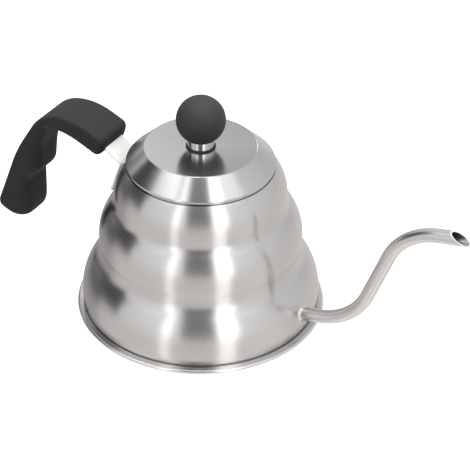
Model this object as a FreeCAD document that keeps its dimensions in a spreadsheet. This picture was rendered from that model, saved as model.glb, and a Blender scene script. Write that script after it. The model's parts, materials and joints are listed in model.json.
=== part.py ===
import FreeCAD, Part
import math
import os
import types

import Sketcher

# Gooseneck kettle, in millimetres: +X is the spout, -X the handle, +Z up,
# the origin is the middle of the flat base, where the kettle stands.

doc = FreeCAD.newDocument("gooseneck_kettle")
Vector = FreeCAD.Vector
vertical = Vector(0, 0, 1)
upright = FreeCAD.Rotation(Vector(1, 0, 0), 90)

# Driving dimensions: name, millimetres or degrees, what it is
driving = [
    ("sheet_gauge", 0.7, "thickness of the body and lid sheet"),
    ("base_gauge", 0.8, "thickness of the base sheet"),
    ("rim_radius", 75.0, "outer radius of the rolled rim at the foot"),
    ("rim_lift", 0.9, "underside of the rim above the flat base"),
    ("rim_roll", 1.1, "bend radius of the rolled rim"),
    ("rim_tuck_radius", 71.6, "inner edge of the rolled-over sheet"),
    ("floor_radius", 65.5, "radius of the flat base that rests on the table"),
    ("floor_slope_run", 2.0, "run of the step from the flat base to the rim"),
    ("flange_edge_radius", 73.6, "outer edge of the body's foot flange inside the rim"),
    ("foot_bend", 0.8, "bend between the body wall and its foot flange"),
    ("low_belly_radius", 71.7, "widest radius of the lowest tier"),
    ("low_belly_height", 12.2, "height of that widest line"),
    ("low_belly_curve", 32.6, "radius of the lowest tier's bulge"),
    ("mid_belly_radius", 60.9, "widest radius of the middle tier"),
    ("mid_belly_height", 50.6, "height of that widest line"),
    ("mid_belly_curve", 30.2, "radius of the middle tier's bulge"),
    ("top_belly_radius", 51.4, "widest radius of the top tier"),
    ("top_belly_height", 78.2, "height of that widest line"),
    ("top_belly_curve", 30.6, "radius of the top tier's bulge"),
    ("groove_curve", 9.0, "radius of the grooves between the tiers"),
    ("neck_radius", 39.4, "radius of the mouth"),
    ("neck_depth", 6.0, "depth of the turned-in neck"),
    ("neck_bend", 1.2, "bends of the ledge that carries the lid"),
    ("ledge_height", 99.6, "height of the ledge that carries the lid"),
    ("spout_outer_radius", 4.1, "outer radius of the spout tube"),
    ("spout_bore_radius", 3.4, "bore radius of the spout tube"),
    ("spout_root_x", 68.6, "inner end of the spout tube, inside the wall"),
    ("spout_root_z", 16.8, "its height"),
    ("spout_rise_x", 104.8, "corner where the spout turns upward"),
    ("spout_rise_z", 24.9, "its height"),
    ("spout_rise_bend", 43.0, "bend radius there"),
    ("spout_crook_x", 132.7, "corner where the spout turns outward"),
    ("spout_crook_z", 99.8, "its height"),
    ("spout_crook_bend", 41.0, "bend radius there"),
    ("spout_tip_x", 167.5, "middle of the oblique cut at the tip"),
    ("spout_tip_z", 107.3, "its height"),
    ("spout_overrun", 0.25, "share of the last run that is made past the tip and cut off"),
    ("spout_cut_angle", 24.0, "slope of the oblique cut below the horizontal"),
    ("spout_wall_gap", 3.0, "from the tube's inner end to the wall's outer face"),
    ("knife_size", 20.0, "radius and height of the waste that the oblique cut takes off"),
    ("drill_length", 16.0, "length of the drilling for the spout through the wall"),
    ("weld_leg", 1.6, "width of the weld fillet on the spout's root"),
    ("trim_low", 6.0, "lower end of the body form that trims what is welded to it"),
    ("trim_high", 96.0, "upper end of that form"),
    ("strap_gauge", 1.6, "thickness of the handle strap"),
    ("strap_width", 18.0, "width of the handle strap"),
    ("strap_foot_x", 57.7, "lower end of the strap's foot"),
    ("strap_foot_z", 63.9, "its height"),
    ("strap_elbow_x", 50.1, "corner where the foot turns out to the tang"),
    ("strap_elbow_z", 85.2, "its height"),
    ("strap_elbow_bend", 3.2, "bend radius there"),
    ("strap_kink_x", 66.0, "corner where the tang levels out inside the grip"),
    ("strap_kink_z", 96.6, "its height"),
    ("strap_kink_bend", 20.0, "bend radius there"),
    ("tang_end_x", 93.0, "end of the tang inside the grip"),
    ("tang_end_z", 105.0, "its height"),
    ("grip_width", 28.0, "width of the grip"),
    ("grip_edge", 3.4, "rounding of the grip's edges"),
    ("screw_near_share", 0.25, "place of the nearer grip screw along the straight of the tang"),
    ("screw_far_share", 0.75, "place of the farther grip screw along it"),
    ("screw_radius", 2.0, "thread radius of the grip screws"),
    ("screw_length", 7.0, "shank length of the grip screws"),
    ("screw_head_radius", 3.6, "head radius of the grip screws"),
    ("screw_head_height", 2.2, "head height of the grip screws"),
    ("screw_seat", 1.6, "plastic between the tang and the screw's washer"),
    ("screw_clearance", 0.2, "room round screw and washer in the grip"),
    ("pocket_depth", 11.0, "depth of the pockets for the screw heads, past the grip's underside"),
    ("washer_gauge", 0.8, "thickness of the spring washers"),
    ("driver_slot", 0.9, "width of the driver slots"),
    ("driver_depth", 1.0, "depth of the driver slots"),
    ("lid_rim_radius", 44.0, "outer radius of the lid's rim"),
    ("lid_rim_lift", 0.3, "underside of the lid's rim above the ledge"),
    ("lid_rim_height", 0.9, "height of the lid's upright rim"),
    ("lid_rim_bend", 0.8, "bend between the lid's rim and its skirt"),
    ("lid_disc_radius", 33.1, "radius of the lid's flat disc"),
    ("lid_disc_height", 111.0, "height of the flat disc"),
    ("lid_disc_bend", 1.4, "rounding of the disc's edge"),
    ("lid_fit", 0.3, "room between the lid's ring and the neck"),
    ("ring_depth", 9.5, "depth of the lid's locating ring"),
    ("ring_bend", 0.9, "bend of the locating ring"),
    ("knob_hole_radius", 2.6, "hole for the knob screw in the lid and collar"),
    ("seal_radius", 8.8, "radius of the dark washer under the collar"),
    ("seal_gauge", 0.8, "its thickness"),
    ("collar_radius", 8.0, "radius of the knob collar"),
    ("collar_height", 5.0, "height of the knob collar"),
    ("ball_radius", 14.55, "radius of the ball knob"),
    ("ball_height", 128.8, "height of the ball's centre"),
    ("insert_radius", 4.0, "outer radius of the threaded insert"),
    ("insert_length", 10.0, "length of the threaded insert"),
    ("knob_screw_radius", 2.5, "thread radius of the knob screw"),
    ("knob_screw_reach", 8.0, "length of the knob screw inside the insert"),
    ("knob_head_radius", 4.6, "head radius of the knob screw"),
    ("knob_head_height", 3.0, "head height of the knob screw"),
    ("knob_washer_radius", 7.0, "radius of the washer inside the lid"),
    ("knob_washer_gauge", 1.0, "its thickness"),
]

# Side outline of the grip: name, reach from the kettle's axis, height, rounding
grip_corners = [
    ("end_top", 60.0, 100.2, 4.6),
    ("crest_front", 82.6, 109.4, 40.0),
    ("crest_back", 106.6, 105.3, 28.0),
    ("outer", 126.2, 72.8, 120.0),
    ("heel", 144.4, 27.0, 7.0),
    ("toe", 124.7, 17.8, 8.5),
    ("belly", 122.3, 32.2, 20.0),
    ("notch", 124.2, 52.6, 5.0),
    ("knuckle_low", 115.3, 55.2, 6.0),
    ("knuckle_high", 111.4, 78.0, 25.0),
    ("web", 102.8, 97.2, 7.0),
    ("underside", 84.0, 96.2, 40.0),
    ("end_bottom", 62.9, 87.5, 4.6),
]
for corner, reach, height, rounding in grip_corners:
    driving.append(("grip_" + corner + "_x", reach, "grip outline, reach from the axis"))
    driving.append(("grip_" + corner + "_z", height, "grip outline, height"))
    driving.append(("grip_" + corner + "_bend", rounding, "grip outline, rounding of this corner"))


class Size:
    # a size known both as a number and as a formula on the sheet

    def __init__(self, value, text):
        self.value = value
        self.text = text

    @staticmethod
    def of(other):
        return other if isinstance(other, Size) else Size(float(other), repr(float(other)))

    def __add__(self, other):
        other = Size.of(other)
        return Size(self.value + other.value, "(%s + %s)" % (self.text, other.text))

    def __sub__(self, other):
        other = Size.of(other)
        return Size(self.value - other.value, "(%s - %s)" % (self.text, other.text))

    def __mul__(self, other):
        other = Size.of(other)
        return Size(self.value * other.value, "(%s * %s)" % (self.text, other.text))

    def __neg__(self):
        return Size(-self.value, "(-1 * %s)" % self.text)


sizes = doc.addObject("Spreadsheet::Sheet", "sizes")
for row, (name, value, meaning) in enumerate(driving, start=1):
    sizes.set("A%d" % row, name)
    sizes.set("B%d" % row, str(value))
    sizes.setAlias("B%d" % row, name)
    sizes.set("C%d" % row, meaning)
doc.recompute()
d = types.SimpleNamespace()
for name, value, meaning in driving:
    setattr(d, name, Size(float(sizes.get(name)), "sizes." + name))
zero = Size.of(0)


def bind(thing, **properties):
    for property_name, size in properties.items():
        thing.setExpression(property_name, Size.of(size).text)


# Sketch helpers: x is the radius or length and y the height

def new_sketch(name, body=None):
    if body is None:
        sketch = doc.addObject("Sketcher::SketchObject", name)
        sketch.Placement = FreeCAD.Placement(Vector(0, 0, 0), upright)
        return sketch
    sketch = body.newObject("Sketcher::SketchObject", name)
    for plane in body.Origin.OriginFeatures:
        if plane.Role == "XZ_Plane":
            sketch.AttachmentSupport = [(plane, "")]
    sketch.MapMode = "FlatFace"
    return sketch


def constrain(sketch, *terms):
    return sketch.addConstraint(Sketcher.Constraint(*terms))


def dimension(sketch, kind, geometry, size, *end):
    index = constrain(sketch, kind, geometry, *end, size.value)
    sketch.setExpression("Constraints[%d]" % index, size.text)


def place_point(sketch, geometry, end, x, z):
    for kind, size, axis in (("DistanceX", x, -2), ("DistanceY", z, -1)):
        if size.value == 0:
            constrain(sketch, "PointOnObject", geometry, end, axis)
        else:
            dimension(sketch, kind, geometry, size, end)


def draw_line(sketch, start, finish):
    return sketch.addGeometry(Part.LineSegment(Vector(*start, 0), Vector(*finish, 0)))


def draw_arc(sketch, centre, radius, start, finish):
    # anticlockwise from the point start to the point finish
    circle = Part.Circle(Vector(*centre, 0), vertical, radius)
    first = math.atan2(start[1] - centre[1], start[0] - centre[0])
    last = math.atan2(finish[1] - centre[1], finish[0] - centre[0])
    if last < first:
        last += 2 * math.pi
    return sketch.addGeometry(Part.ArcOfCircle(circle, first, last))


def corner_arc(before, corner, after, radius):
    # the arc that rounds a corner: where it starts, where it ends, its centre, whether it turns left
    back = Vector(before[0] - corner[0], before[1] - corner[1], 0).normalize()
    ahead = Vector(after[0] - corner[0], after[1] - corner[1], 0).normalize()
    half = back.getAngle(ahead) / 2
    tip = Vector(*corner, 0)
    middle = tip + (back + ahead).normalize() * (radius / math.sin(half))
    reach = radius / math.tan(half)
    first = tip + back * reach
    last = tip + ahead * reach
    turns_left = back.cross(ahead).z < 0
    return (first.x, first.y), (last.x, last.y), (middle.x, middle.y), turns_left


def draw_path(sketch, corners, closed=False):
    # straight runs between corners (x, z, rounding), where no rounding leaves the corner sharp
    spots = [(x.value, z.value) for x, z, rounding in corners]
    count = len(corners)
    entries = list(spots)
    exits = list(spots)
    arcs = {}
    for i, (x, z, rounding) in enumerate(corners):
        if rounding is None:
            continue
        before = spots[i - 1]
        after = spots[(i + 1) % count]
        first, last, centre, turns_left = corner_arc(before, spots[i], after, rounding.value)
        entries[i] = first
        exits[i] = last
        ends = (first, last) if turns_left else (last, first)
        arcs[i] = (draw_arc(sketch, centre, rounding.value, *ends), turns_left)
    runs = []
    for i in range(count if closed else count - 1):
        runs.append(draw_line(sketch, exits[i], entries[(i + 1) % count]))
    for i, (x, z, rounding) in enumerate(corners):
        inward = runs[i - 1] if closed or i > 0 else None
        outward = runs[i] if i < len(runs) else None
        if rounding is None:
            if inward is not None and outward is not None:
                constrain(sketch, "Coincident", inward, 2, outward, 1)
            place_point(sketch, *((outward, 1) if outward is not None else (inward, 2)), x, z)
            continue
        arc, turns_left = arcs[i]
        constrain(sketch, "Tangent", inward, 2, arc, 1 if turns_left else 2)
        constrain(sketch, "Tangent", arc, 2 if turns_left else 1, outward, 1)
        dimension(sketch, "Radius", arc, rounding)
        tip = sketch.addGeometry(Part.Point(Vector(*spots[i], 0)), True)
        place_point(sketch, tip, 1, x, z)
        constrain(sketch, "PointOnObject", tip, 1, inward)
        constrain(sketch, "PointOnObject", tip, 1, outward)


# Solids made from sketches and primitives

def thicken(name, sketch, gauge):
    # sheet of even thickness on one side of an open path
    sheet = doc.addObject("Part::Offset2D", name)
    sheet.Source = sketch
    sheet.Mode = "Skin"
    sheet.Join = "Intersection"
    sheet.Fill = True
    bind(sheet, Value=gauge)
    return sheet


def spin(name, source):
    turned = doc.addObject("Part::Revolution", name)
    turned.Source = source
    turned.Axis = vertical
    turned.Angle = 360
    turned.Solid = True
    return turned


def cut(name, base, tool):
    result = doc.addObject("Part::Cut", name)
    result.Base = base
    result.Tool = tool
    return result


def join(name, shapes):
    result = doc.addObject("Part::MultiFuse", name)
    result.Shapes = shapes
    return result


def group(name, shapes):
    result = doc.addObject("Part::Compound", name)
    result.Links = shapes
    return result


def cylinder(name, radius, height, base=zero):
    solid = doc.addObject("Part::Cylinder", name)
    bind(solid, Radius=radius, Height=height)
    solid.setExpression("Placement.Base.z", base.text)
    return solid


def ring(name, outer, inner, height, base=zero):
    body = cylinder(name + "_blank", outer, height, base)
    bore = cylinder(name + "_bore", inner, height, base)
    return cut(name, body, bore)


def stand(thing, x, z, angle):
    # stands a solid made along Z at (x, z), tipped by angle towards +X
    thing.Placement.Rotation = FreeCAD.Rotation(Vector(0, 1, 0), Size.of(angle).value)
    thing.setExpression("Placement.Base.x", x.text)
    thing.setExpression("Placement.Base.z", z.text)
    thing.setExpression("Placement.Rotation.Angle", Size.of(angle).text)


# The three tiers of the body wall, outer face

tiers = [
    (d.low_belly_radius, d.low_belly_height, d.low_belly_curve),
    (d.mid_belly_radius, d.mid_belly_height, d.mid_belly_curve),
    (d.top_belly_radius, d.top_belly_height, d.top_belly_curve),
]


def tier_centre(tier):
    belly, height, curve = tier
    return belly.value - curve.value, height.value


def towards(origin, target, length):
    scale = length / math.dist(origin, target)
    return origin[0] + (target[0] - origin[0]) * scale, origin[1] + (target[1] - origin[1]) * scale


def groove_centre(lower, upper):
    # centre of the groove's arc, outside both bulges that it touches
    (ax, az), (bx, bz) = tier_centre(lower), tier_centre(upper)
    reach_a = lower[2].value + d.groove_curve.value
    reach_b = upper[2].value + d.groove_curve.value
    gap = math.dist((ax, az), (bx, bz))
    along = (reach_a ** 2 - reach_b ** 2 + gap ** 2) / (2 * gap)
    aside = math.sqrt(reach_a ** 2 - along ** 2)
    ux, uz = (bx - ax) / gap, (bz - az) / gap
    return ax + along * ux + aside * uz, az + along * uz - aside * ux


def draw_wall(sketch, start, finish):
    # bulge, groove, bulge, groove, bulge, from the point start up to the point finish
    centres = [tier_centre(tier) for tier in tiers]
    grooves = [groove_centre(tiers[i], tiers[i + 1]) for i in range(2)]
    bulges = []
    for i, tier in enumerate(tiers):
        curve = tier[2].value
        low = start if i == 0 else towards(centres[i], grooves[i - 1], curve)
        high = finish if i == 2 else towards(centres[i], grooves[i], curve)
        bulge = draw_arc(sketch, centres[i], curve, low, high)
        dimension(sketch, "Radius", bulge, tier[2])
        place_point(sketch, bulge, 3, tier[0] - tier[2], tier[1])
        bulges.append(bulge)
    for i, centre in enumerate(grooves):
        low = towards(centres[i], centre, tiers[i][2].value)
        high = towards(centres[i + 1], centre, tiers[i + 1][2].value)
        groove = draw_arc(sketch, centre, d.groove_curve.value, high, low)
        constrain(sketch, "Tangent", bulges[i], 2, groove, 2)
        constrain(sketch, "Tangent", groove, 1, bulges[i + 1], 1)
        dimension(sketch, "Radius", groove, d.groove_curve)
    return bulges


# Body shell: foot flange, wall, ledge and turned-in neck from one sheet

flange_top = d.rim_lift + d.base_gauge + d.sheet_gauge
low_x, low_z = tier_centre(tiers[0])
top_x, top_z = tier_centre(tiers[2])
foot_reach = d.low_belly_curve.value + d.foot_bend.value
foot_z = flange_top.value + d.foot_bend.value
foot_x = low_x + math.sqrt(foot_reach ** 2 - (foot_z - low_z) ** 2)
wall_start = towards((low_x, low_z), (foot_x, foot_z), d.low_belly_curve.value)
shoulder_reach = d.top_belly_curve.value - d.neck_bend.value
shoulder_z = d.ledge_height.value - d.neck_bend.value
shoulder_x = top_x + math.sqrt(shoulder_reach ** 2 - (shoulder_z - top_z) ** 2)
wall_finish = towards((top_x, top_z), (shoulder_x, shoulder_z), d.top_belly_curve.value)
lip_x = d.neck_radius.value + d.neck_bend.value

shell_path = new_sketch("shell_path")
wall = draw_wall(shell_path, wall_start, wall_finish)
flange = draw_line(shell_path, (d.flange_edge_radius.value, flange_top.value), (foot_x, flange_top.value))
foot = draw_arc(shell_path, (foot_x, foot_z), d.foot_bend.value, wall_start, (foot_x, flange_top.value))
shoulder = draw_arc(shell_path, (shoulder_x, shoulder_z), d.neck_bend.value, wall_finish,
                    (shoulder_x, d.ledge_height.value))
ledge = draw_line(shell_path, (shoulder_x, d.ledge_height.value), (lip_x, d.ledge_height.value))
lip = draw_arc(shell_path, (lip_x, shoulder_z), d.neck_bend.value, (lip_x, d.ledge_height.value),
               (d.neck_radius.value, shoulder_z))
neck = draw_line(shell_path, (d.neck_radius.value, shoulder_z),
                 (d.neck_radius.value, d.ledge_height.value - d.neck_depth.value))
place_point(shell_path, flange, 1, d.flange_edge_radius, flange_top)
constrain(shell_path, "Horizontal", flange)
constrain(shell_path, "Tangent", flange, 2, foot, 2)
constrain(shell_path, "Tangent", foot, 1, wall[0], 1)
constrain(shell_path, "Tangent", wall[2], 2, shoulder, 1)
constrain(shell_path, "Tangent", shoulder, 2, ledge, 1)
constrain(shell_path, "Horizontal", ledge)
constrain(shell_path, "Tangent", ledge, 2, lip, 1)
constrain(shell_path, "Tangent", lip, 2, neck, 1)
dimension(shell_path, "Radius", foot, d.foot_bend)
dimension(shell_path, "Radius", shoulder, d.neck_bend)
dimension(shell_path, "Radius", lip, d.neck_bend)
dimension(shell_path, "DistanceY", ledge, d.ledge_height, 1)
place_point(shell_path, neck, 2, d.neck_radius, d.ledge_height - d.neck_depth)
constrain(shell_path, "Vertical", neck)
shell_blank = spin("shell_blank", thicken("shell_sheet", shell_path, d.sheet_gauge))

# The body's outer form as one solid, which trims what is welded on to it
core_low = d.trim_low.value
core_high = d.trim_high.value
core_start = (low_x + math.sqrt(d.low_belly_curve.value ** 2 - (core_low - low_z) ** 2), core_low)
core_finish = (top_x + math.sqrt(d.top_belly_curve.value ** 2 - (core_high - top_z) ** 2), core_high)
core_outline = new_sketch("core_outline")
core_wall = draw_wall(core_outline, core_start, core_finish)
core_floor = draw_line(core_outline, (0, core_low), core_start)
core_roof = draw_line(core_outline, core_finish, (0, core_high))
core_axis = draw_line(core_outline, (0, core_high), (0, core_low))
constrain(core_outline, "Coincident", core_floor, 2, core_wall[0], 1)
constrain(core_outline, "Coincident", core_wall[2], 2, core_roof, 1)
constrain(core_outline, "Coincident", core_roof, 2, core_axis, 1)
constrain(core_outline, "Coincident", core_axis, 2, core_floor, 1)
constrain(core_outline, "Horizontal", core_floor)
constrain(core_outline, "Horizontal", core_roof)
place_point(core_outline, core_floor, 1, zero, d.trim_low)
place_point(core_outline, core_axis, 1, zero, d.trim_high)
body_core = spin("body_core", core_outline)

# Spout: one bent tube, cut obliquely at the tip and passed through the wall

spout_path = new_sketch("spout_path")
draw_path(spout_path, [
    (d.spout_root_x, d.spout_root_z, None),
    (d.spout_rise_x, d.spout_rise_z, d.spout_rise_bend),
    (d.spout_crook_x, d.spout_crook_z, d.spout_crook_bend),
    (d.spout_tip_x + (d.spout_tip_x - d.spout_crook_x) * d.spout_overrun,
     d.spout_tip_z + (d.spout_tip_z - d.spout_crook_z) * d.spout_overrun, None),
])
root_run = (d.spout_rise_x.value - d.spout_root_x.value, d.spout_rise_z.value - d.spout_root_z.value)
root_lean = math.degrees(math.atan2(root_run[0], root_run[1]))
root_length = math.hypot(*root_run)


def bent_rod(name, radius):
    # round bar of the given radius along the spout's centreline
    section = doc.addObject("Part::Circle", name + "_section")
    bind(section, Radius=radius)
    stand(section, d.spout_root_x, d.spout_root_z, root_lean)
    rod = doc.addObject("Part::Sweep", name)
    rod.Sections = [section]
    rod.Spine = (spout_path, ["Edge%d" % (i + 1) for i in range(len(spout_path.Shape.Edges))])
    rod.Solid = True
    return rod


def along_root(distance):
    # point on the spout's first straight run, measured from its inner end
    share = distance * (1.0 / root_length)
    x = d.spout_root_x + (d.spout_rise_x - d.spout_root_x) * share
    return x, d.spout_root_z + (d.spout_rise_z - d.spout_root_z) * share


doc.recompute()
tip_knife = cylinder("tip_knife", d.knife_size, d.knife_size)
stand(tip_knife, d.spout_tip_x, d.spout_tip_z, d.spout_cut_angle)
spout_rod = cut("spout_rod", bent_rod("spout_outer", d.spout_outer_radius), tip_knife)
spout_tube = cut("spout_tube", spout_rod, bent_rod("spout_bore", d.spout_bore_radius))

spout_drill = cylinder("spout_drill", d.spout_outer_radius, d.drill_length)
stand(spout_drill, *along_root(-d.spout_outer_radius), root_lean)
body_shell = cut("body_shell", shell_blank, spout_drill)

# Weld fillet: a cone round the tube that starts inside the wall, where it is trimmed
weld_flare = d.weld_leg + d.weld_leg
weld_cone = doc.addObject("Part::Cone", "weld_cone")
bind(weld_cone, Radius1=d.spout_outer_radius + weld_flare, Radius2=d.spout_outer_radius, Height=weld_flare)
stand(weld_cone, *along_root(d.spout_wall_gap - d.weld_leg), root_lean)
spout_weld = cut("spout_weld", weld_cone, join("weld_trim", [body_core, spout_drill]))

# Base pan: flat floor, a small step, and the edge rolled over the body's flange

rim_top = flange_top + d.base_gauge
base_path = new_sketch("base_path")
draw_path(base_path, [
    (zero, zero, None),
    (d.floor_radius, zero, None),
    (d.floor_radius + d.floor_slope_run, d.rim_lift, None),
    (d.rim_radius, d.rim_lift, d.rim_roll),
    (d.rim_radius, rim_top, d.rim_roll),
    (d.rim_tuck_radius, rim_top, None),
])
base_pan = spin("base_pan", thicken("base_sheet", base_path, d.base_gauge))

# Handle strap: a foot across the two upper tiers and a tang in the grip

strap_path = new_sketch("strap_path")
draw_path(strap_path, [
    (-d.strap_foot_x, d.strap_foot_z, None),
    (-d.strap_elbow_x, d.strap_elbow_z, d.strap_elbow_bend),
    (-d.strap_kink_x, d.strap_kink_z, d.strap_kink_bend),
    (-d.tang_end_x, d.tang_end_z, None),
])
strap_plate = doc.addObject("Part::Extrusion", "strap_plate")
strap_plate.Base = thicken("strap_sheet", strap_path, d.strap_gauge)
strap_plate.DirMode = "Custom"
strap_plate.Dir = Vector(0, 1, 0)
strap_plate.Solid = True
strap_plate.Symmetric = True
bind(strap_plate, LengthFwd=d.strap_width)
strap_blank = cut("strap_blank", strap_plate, body_core)

# Grip screws and their spring washers, square to the tang, heads below

tang_slope = math.degrees(math.atan2(d.tang_end_z.value - d.strap_kink_z.value,
                                     d.tang_end_x.value - d.strap_kink_x.value))
lean_sin = math.sin(math.radians(tang_slope))
lean_cos = math.cos(math.radians(tang_slope))
seat_height = -d.strap_gauge - d.screw_seat
head_top = seat_height - d.washer_gauge
head_base = head_top - d.screw_head_height


def on_screw(share, height, aside=zero):
    # point on a grip screw's axis, height above the tang's top face, aside towards the kettle
    x = -d.strap_kink_x - (d.tang_end_x - d.strap_kink_x) * share + height * lean_sin + aside * lean_cos
    z = d.strap_kink_z + (d.tang_end_z - d.strap_kink_z) * share + height * lean_cos - aside * lean_sin
    return x, z


def screw_cylinder(name, share, radius, length, start):
    solid = cylinder(name, radius, length)
    stand(solid, *on_screw(share, start), tang_slope)
    return solid


def driver_slot(name, length, x, z, angle):
    # slot for a screwdriver across a screw's head
    slot = doc.addObject("Part::Box", name)
    bind(slot, Length=length, Width=d.driver_slot, Height=d.driver_depth)
    stand(slot, x, z, angle)
    slot.setExpression("Placement.Base.y", (d.driver_slot * -0.5).text)
    return slot


passage_radius = d.screw_radius + d.screw_clearance
pocket_radius = d.screw_head_radius + d.screw_clearance
screws = []
washers = []
shanks = []
reliefs = []
for place, share in (("near", d.screw_near_share), ("far", d.screw_far_share)):
    shank = screw_cylinder("shank_" + place, share, d.screw_radius, d.screw_length, head_top)
    head = screw_cylinder("head_" + place, share, d.screw_head_radius, d.screw_head_height, head_base)
    slot_corner = on_screw(share, head_base, -d.screw_head_radius)
    slot = driver_slot("slot_" + place, d.screw_head_radius * 2, *slot_corner, tang_slope)
    screws.append(cut("screw_" + place, join("screw_blank_" + place, [shank, head]), slot))
    washer = screw_cylinder("washer_blank_" + place, share, d.screw_head_radius, d.washer_gauge, head_top)
    bore = screw_cylinder("washer_bore_" + place, share, passage_radius, d.washer_gauge, head_top)
    washers.append(cut("washer_" + place, washer, bore))
    passage_length = d.screw_length + d.screw_clearance
    passage = screw_cylinder("passage_" + place, share, passage_radius, passage_length, head_top)
    pocket_foot = seat_height - d.pocket_depth
    pocket = screw_cylinder("pocket_" + place, share, pocket_radius, d.pocket_depth, pocket_foot)
    shanks.append(shank)
    reliefs.append(join("relief_" + place, [passage, pocket]))
grip_screws = group("grip_screws", screws)
grip_washers = group("grip_washers", washers)
handle_strap = cut("handle_strap", strap_blank, join("tapped_holes", shanks))

# Grip: side outline padded to its width, edges rounded, then fitted on the tang

grip_body = doc.addObject("PartDesign::Body", "grip_body")
grip_outline = new_sketch("grip_outline", grip_body)
outline = []
for corner, reach, height, rounding in grip_corners:
    corner_x = -getattr(d, "grip_" + corner + "_x")
    corner_z = getattr(d, "grip_" + corner + "_z")
    outline.append((corner_x, corner_z, getattr(d, "grip_" + corner + "_bend")))
draw_path(grip_outline, outline, closed=True)
grip_pad = grip_body.newObject("PartDesign::Pad", "grip_pad")
grip_pad.Profile = grip_outline
grip_pad.SideType = "Symmetric"
bind(grip_pad, Length=d.grip_width)
doc.recompute()
side = d.grip_width.value / 2
closeness = 1e-6
side_edges = []
for index, edge in enumerate(grip_pad.Shape.Edges, start=1):
    on_side = all(abs(abs(vertex.Y) - side) < closeness for vertex in edge.Vertexes)
    if on_side and edge.BoundBox.YLength < closeness:
        side_edges.append("Edge%d" % index)
grip_rounding = grip_body.newObject("PartDesign::Fillet", "grip_rounding")
grip_rounding.Base = (grip_pad, side_edges)
bind(grip_rounding, Radius=d.grip_edge)
handle_grip = cut("handle_grip", grip_body, join("grip_fittings", [strap_blank] + reliefs))

# Lid: skirt and disc from one sheet, with a locating ring inside the neck

rim_foot = d.ledge_height + d.lid_rim_lift
lid_path = new_sketch("lid_path")
draw_path(lid_path, [
    (d.lid_rim_radius, rim_foot, None),
    (d.lid_rim_radius, rim_foot + d.lid_rim_height, d.lid_rim_bend),
    (d.lid_disc_radius, d.lid_disc_height, d.lid_disc_bend),
    (d.knob_hole_radius, d.lid_disc_height, None),
])
lid_shell = spin("lid_shell", thicken("lid_sheet", lid_path, d.sheet_gauge))
ring_radius = d.neck_radius - d.lid_fit
ring_path = new_sketch("ring_path")
draw_path(ring_path, [
    (d.lid_rim_radius - d.sheet_gauge, d.ledge_height, None),
    (ring_radius, d.ledge_height, d.ring_bend),
    (ring_radius, d.ledge_height - d.ring_depth, None),
])
lid_inner_ring = spin("lid_inner_ring", thicken("ring_sheet", ring_path, -d.sheet_gauge))

# Knob: seal, collar and ball above the disc, washer and screw below it

collar_foot = d.lid_disc_height + d.seal_gauge
ball_foot = collar_foot + d.collar_height
knob_seal = ring("knob_seal", d.seal_radius, d.knob_hole_radius, d.seal_gauge, d.lid_disc_height)
knob_collar = ring("knob_collar", d.collar_radius, d.knob_hole_radius, d.collar_height, collar_foot)
ball_blank = doc.addObject("Part::Sphere", "ball_blank")
bind(ball_blank, Radius=d.ball_radius)
ball_blank.setExpression("Placement.Base.z", d.ball_height.text)
ball_seat = cylinder("ball_seat", d.ball_radius, ball_foot - d.lid_disc_height, d.lid_disc_height)
insert_hole = cylinder("insert_hole", d.insert_radius, d.insert_length, ball_foot)
knob_ball = cut("knob_ball", ball_blank, join("ball_trim", [ball_seat, insert_hole]))
knob_insert = ring("knob_insert", d.insert_radius, d.knob_screw_radius, d.insert_length, ball_foot)
knob_washer_foot = d.lid_disc_height - d.sheet_gauge - d.knob_washer_gauge
knob_washer = ring("knob_washer", d.knob_washer_radius, d.knob_hole_radius,
                   d.knob_washer_gauge, knob_washer_foot)
knob_head_foot = knob_washer_foot - d.knob_head_height
knob_head = cylinder("knob_head", d.knob_head_radius, d.knob_head_height, knob_head_foot)
knob_shank_length = ball_foot + d.knob_screw_reach - knob_washer_foot
knob_shank = cylinder("knob_shank", d.knob_screw_radius, knob_shank_length, knob_washer_foot)
knob_slot = driver_slot("knob_slot", d.knob_head_radius * 2, -d.knob_head_radius, knob_head_foot, 0)
knob_screw = cut("knob_screw", join("knob_screw_blank", [knob_head, knob_shank]), knob_slot)

nodes = [
    body_shell, base_pan, spout_tube, spout_weld,
    handle_strap, handle_grip, grip_screws, grip_washers,
    lid_shell, lid_inner_ring, knob_seal, knob_collar, knob_ball, knob_insert, knob_screw, knob_washer,
]

# Every object has to be sound before anything is written
doc.recompute()
for thing in doc.Objects:
    if "Invalid" in thing.State or "Error" in thing.State:
        raise RuntimeError("%s failed: %s" % (thing.Name, thing.State))
for node in nodes:
    if node.Shape.isNull() or not node.Shape.isValid() or not node.Shape.Solids:
        raise RuntimeError("%s has no sound solid" % node.Label)
os.makedirs("parts", exist_ok=True)
for node in nodes:
    solids = node.Shape.Solids
    shape = solids[0] if len(solids) == 1 else Part.makeCompound(solids)
    shape.exportStep("parts/%s.step" % node.Label)
    print("%-15s %d solid(s), %9.1f cubic mm" % (node.Label, len(solids), shape.Volume))
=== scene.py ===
import json
import math

import bmesh
import bpy
from mathutils import Matrix, Vector

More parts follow.
